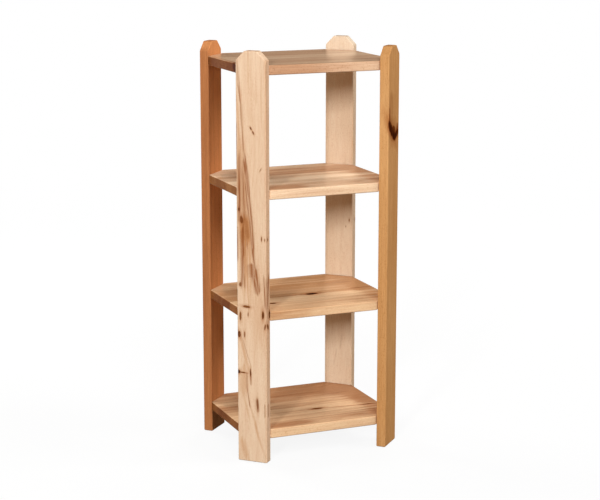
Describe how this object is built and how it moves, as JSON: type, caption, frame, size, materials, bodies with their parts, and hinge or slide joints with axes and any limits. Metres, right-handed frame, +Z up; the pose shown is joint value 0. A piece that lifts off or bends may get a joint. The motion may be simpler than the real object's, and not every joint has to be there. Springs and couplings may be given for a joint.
{
  "type": "open shelf stand",
  "caption": "Open free-standing bookshelf of solid beech: clipped-corner shelves of glued staves, doweled to flat posts set diagonally at the corners with clipped heads above the top shelf.",
  "frame": {"origin": "on the floor, below the centre of the shelves", "axes": "+X to the right along the shelves seen from the front, +Y from front to back, +Z up the posts"},
  "size_m": [0.444, 0.375, 1.05],
  "materials": {
    "front_left_post_wood": "pale beech sapwood with brown heart streaks and pin knots, oiled to a satin sheen",
    "front_right_post_wood": "golden brown heart beech with one large dark knot, oiled to a satin sheen",
    "rear_left_post_wood": "reddish brown heart beech, straight grained, oiled to a satin sheen",
    "rear_right_post_wood": "pale even beech with fine ray flecks, oiled to a satin sheen",
    "shelf_wood": "heart beech staves of mixed tone with small knots, oiled to a satin sheen",
    "dowel_wood": "plain turned beech, dry and unfinished"
  },
  "bodies": {
    "root": {"front_left_post": "front_left_post_wood", "front_right_post": "front_right_post_wood", "rear_left_post": "rear_left_post_wood", "rear_right_post": "rear_right_post_wood", "shelf_1_stave_1": "shelf_wood", "shelf_1_stave_2": "shelf_wood", "shelf_1_stave_3": "shelf_wood", "shelf_1_stave_4": "shelf_wood", "shelf_1_stave_5": "shelf_wood", "shelf_1_front_left_dowels": "dowel_wood", "shelf_1_front_right_dowels": "dowel_wood", "shelf_1_rear_left_dowels": "dowel_wood", "shelf_1_rear_right_dowels": "dowel_wood", "shelf_2_stave_1": "shelf_wood", "shelf_2_stave_2": "shelf_wood", "shelf_2_stave_3": "shelf_wood", "shelf_2_stave_4": "shelf_wood", "shelf_2_stave_5": "shelf_wood", "shelf_2_front_left_dowels": "dowel_wood", "shelf_2_front_right_dowels": "dowel_wood", "shelf_2_rear_left_dowels": "dowel_wood", "shelf_2_rear_right_dowels": "dowel_wood", "shelf_3_stave_1": "shelf_wood", "shelf_3_stave_2": "shelf_wood", "shelf_3_stave_3": "shelf_wood", "shelf_3_stave_4": "shelf_wood", "shelf_3_stave_5": "shelf_wood", "shelf_3_front_left_dowels": "dowel_wood", "shelf_3_front_right_dowels": "dowel_wood", "shelf_3_rear_left_dowels": "dowel_wood", "shelf_3_rear_right_dowels": "dowel_wood", "shelf_4_stave_1": "shelf_wood", "shelf_4_stave_2": "shelf_wood", "shelf_4_stave_3": "shelf_wood", "shelf_4_stave_4": "shelf_wood", "shelf_4_stave_5": "shelf_wood", "shelf_4_front_left_dowels": "dowel_wood", "shelf_4_front_right_dowels": "dowel_wood", "shelf_4_rear_left_dowels": "dowel_wood", "shelf_4_rear_right_dowels": "dowel_wood"}
  },
  "joints": []
}
